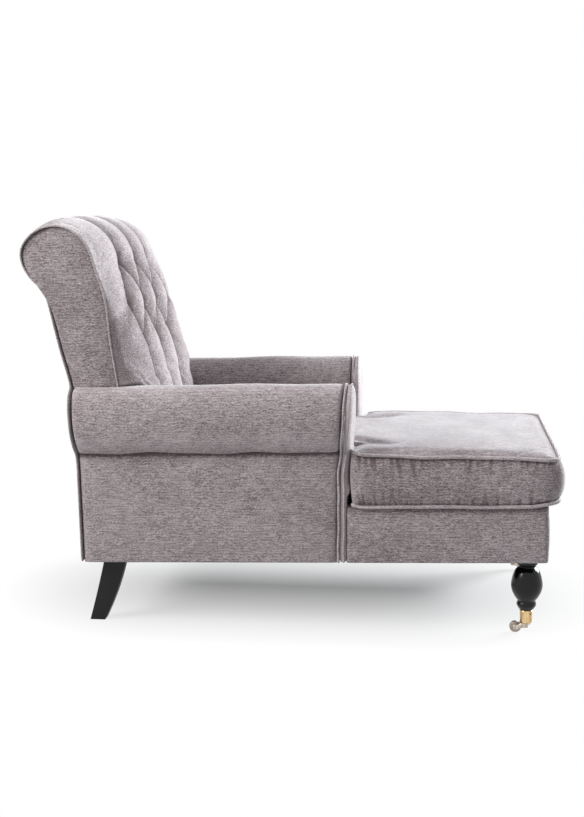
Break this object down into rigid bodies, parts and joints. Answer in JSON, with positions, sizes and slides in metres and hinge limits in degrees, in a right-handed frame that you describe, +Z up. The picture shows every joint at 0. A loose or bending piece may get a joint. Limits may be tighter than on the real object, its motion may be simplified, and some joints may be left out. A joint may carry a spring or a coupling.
{
  "type": "chaise armchair",
  "caption": "Scroll-backed chaise armchair with a deep-buttoned back, padded roll arms and one long T-shaped cushion, on sabre rear legs and turned front legs with brass castors.",
  "frame": {"origin": "on the floor, under the middle of the bounding box", "axes": "+X the way the sitter faces, +Y to the sitter's left, +Z up"},
  "size_m": [1.3196, 0.7732, 0.9998],
  "materials": {
    "chenille": "brushed chenille",
    "chenille_welt": "brushed chenille",
    "button_cloth": "brushed chenille",
    "deck_cloth": "plain weave",
    "jute_webbing": "woven",
    "dust_cloth": "non-woven",
    "beech": "sawn",
    "black_lacquer": "gloss lacquer",
    "brass": "polished",
    "steel": "satin"
  },
  "bodies": {
    "chair": {"arm_facing_left": "chenille", "arm_facing_right": "chenille", "arm_facing_welt_left": "chenille_welt", "arm_facing_welt_right": "chenille_welt", "arm_front_post_left": "beech", "arm_front_post_right": "beech", "arm_inner_panel_left": "chenille", "arm_inner_panel_right": "chenille", "arm_outer_panel_left": "chenille", "arm_outer_panel_right": "chenille", "arm_rail_left": "beech", "arm_rail_right": "beech", "arm_roll_left": "chenille", "arm_roll_right": "chenille", "back_lower_rail": "beech", "back_pad": "chenille", "back_post_left": "beech", "back_post_right": "beech", "back_side_panel_left": "chenille", "back_side_panel_right": "chenille", "back_side_welt_left": "chenille_welt", "back_side_welt_right": "chenille_welt", "back_top_rail": "beech", "base_front_border": "chenille", "base_side_panel_left": "chenille", "base_side_panel_right": "chenille", "castor_cup_left": "brass", "castor_cup_right": "brass", "dust_cover": "dust_cloth", "front_leg_left": "black_lacquer", "front_leg_right": "black_lacquer", "outside_back": "chenille", "rear_leg_left": "black_lacquer", "rear_leg_right": "black_lacquer", "seat_cross_rail": "beech", "seat_deck": "deck_cloth", "seat_front_rail": "beech", "seat_rear_rail": "beech", "seat_side_rail_left": "beech", "seat_side_rail_right": "beech", "seat_webbing": "jute_webbing", "tuft_button_01": "button_cloth", "tuft_button_02": "button_cloth", "tuft_button_03": "button_cloth", "tuft_button_04": "button_cloth", "tuft_button_05": "button_cloth", "tuft_button_06": "button_cloth", "tuft_button_07": "button_cloth", "tuft_button_08": "button_cloth", "tuft_button_09": "button_cloth", "tuft_button_10": "button_cloth"},
    "cushion": {"seat_cushion": "chenille", "cushion_top_welt": "chenille_welt", "cushion_bottom_welt": "chenille_welt"},
    "castor_fork_right": {"castor_horn_right": "steel", "castor_axle_right": "steel"},
    "castor_roller_right": {"castor_wheel_right": "steel"},
    "castor_fork_left": {"castor_horn_left": "steel", "castor_axle_left": "steel"},
    "castor_roller_left": {"castor_wheel_left": "steel"}
  },
  "joints": [
    {"name": "cushion_lift", "type": "slide", "parent": "chair", "child": "cushion", "axis": [0.1818, 0, 0.9833], "range_m": [0, 0.25]},
    {"name": "castor_swivel_right", "type": "hinge", "parent": "chair", "child": "castor_fork_right", "pos_m": [0.5815, -0.29, 0.0225], "axis": [0, 0, 1], "continuous": true},
    {"name": "castor_roll_right", "type": "hinge", "parent": "castor_fork_right", "child": "castor_roller_right", "pos_m": [0.556, -0.29, 0.0138], "axis": [0, 1, 0], "continuous": true},
    {"name": "castor_swivel_left", "type": "hinge", "parent": "chair", "child": "castor_fork_left", "pos_m": [0.5815, 0.29, 0.0225], "axis": [0, 0, 1], "continuous": true},
    {"name": "castor_roll_left", "type": "hinge", "parent": "castor_fork_left", "child": "castor_roller_left", "pos_m": [0.607, 0.29, 0.0138], "axis": [0, 1, 0], "continuous": true}
  ]
}
